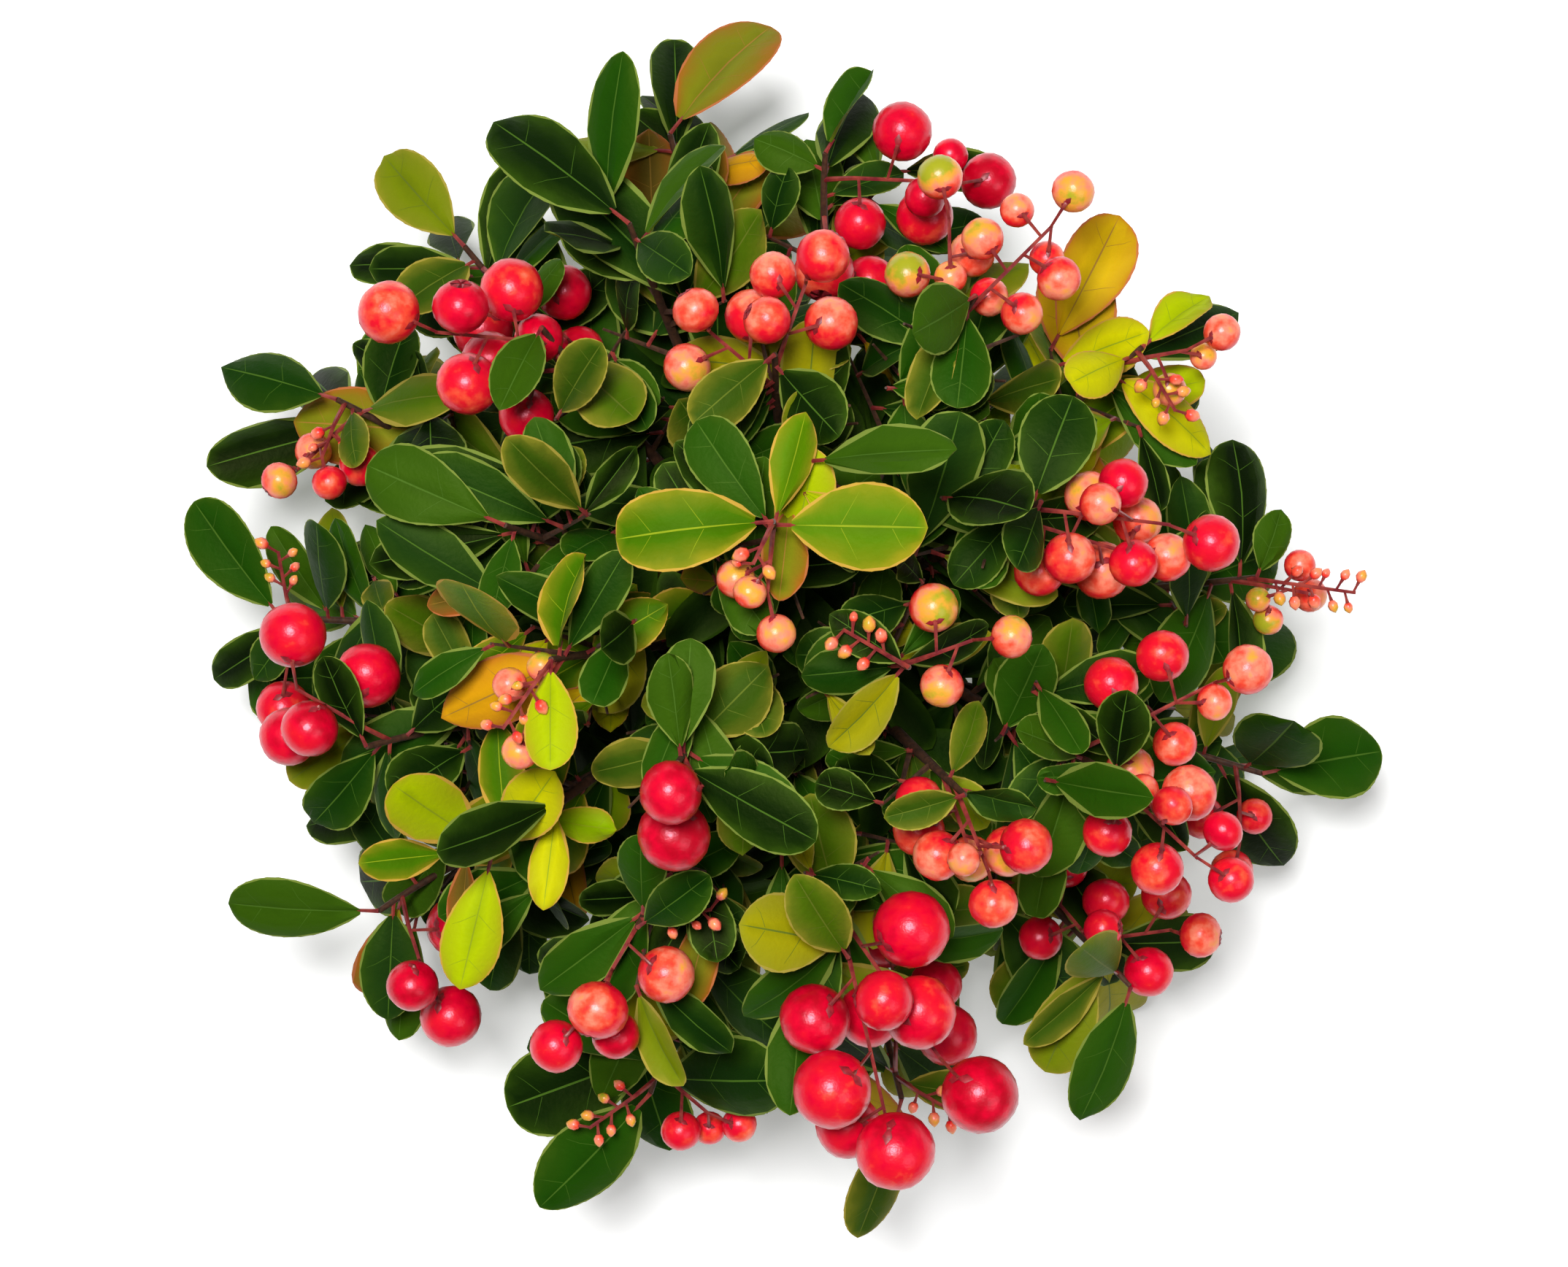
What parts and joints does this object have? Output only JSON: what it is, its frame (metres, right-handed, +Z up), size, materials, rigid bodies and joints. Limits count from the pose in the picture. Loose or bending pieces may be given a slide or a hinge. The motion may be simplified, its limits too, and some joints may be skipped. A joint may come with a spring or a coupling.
{
  "type": "wintergreen shrub",
  "caption": "Low evergreen shrub with a dense round crown of leathery oval leaves and hanging clusters of red and pink berries, rooted at a flat cut under its short woody stem.",
  "frame": {"origin": "The middle of the flat cut under the stem, at ground level.", "axes": "+Z points up, out of the ground. +X points to the right of the picture's plan view and +Y to its top edge."},
  "size_m": [0.2116, 0.2141, 0.126],
  "materials": {
    "bark": "rough",
    "twig": "satin",
    "leaf_dark": "satin",
    "leaf_olive": "satin",
    "leaf_fresh": "satin",
    "leaf_bronze": "satin",
    "berry": "glossy"
  },
  "bodies": {
    "root": {"stem": "bark", "bough_north_west_high": "bark", "bough_north_tip": "bark", "bough_north_berry": "bark", "bough_north_east_berry": "bark", "bough_north_east_fresh": "bark", "bough_east_berry": "bark", "bough_east_rim": "bark", "bough_south_east_berry": "bark", "bough_east_low": "bark", "bough_east_heart_berry": "bark", "bough_south_east_rim": "bark", "bough_south_berry": "bark", "bough_south_rim": "bark", "bough_south_low": "bark", "bough_south_middle": "bark", "bough_south_west_fresh": "bark", "bough_west_low": "bark", "bough_west_berry": "bark", "bough_west_edge": "bark", "bough_west_fresh": "bark", "bough_south_heart_berry": "bark", "bough_crown_pair": "bark", "bough_north_heart_berry": "bark", "bough_west_heart": "bark", "bough_west_dark": "bark", "bough_north_west_rim": "bark", "bough_north_west_heart": "bark", "bough_east_heart": "bark", "spray_north_west_high": "leaf_dark", "spray_north_tip": "leaf_bronze", "spray_north_berry": "leaf_dark", "spray_north_east_berry": "leaf_dark", "spray_north_east_fresh": "leaf_fresh", "spray_east_berry": "leaf_dark", "spray_east_rim": "leaf_dark", "spray_south_east_berry": "leaf_dark", "spray_east_low": "leaf_dark", "spray_east_heart_berry": "leaf_dark", "spray_south_east_rim": "leaf_olive", "spray_south_berry": "leaf_olive", "spray_south_rim": "leaf_dark", "spray_south_low": "leaf_olive", "spray_south_middle": "leaf_dark", "spray_south_west_fresh": "leaf_fresh", "spray_west_low": "leaf_dark", "spray_west_berry": "leaf_dark", "spray_west_edge": "leaf_dark", "spray_west_fresh": "leaf_fresh", "spray_south_heart_berry": "leaf_dark", "spray_crown_pair": "leaf_fresh", "spray_north_heart_berry": "leaf_dark", "spray_west_heart": "leaf_dark", "spray_west_dark": "leaf_dark", "spray_north_west_rim": "leaf_dark", "spray_north_west_heart": "leaf_dark", "spray_east_heart": "leaf_dark"}
  },
  "joints": []
}
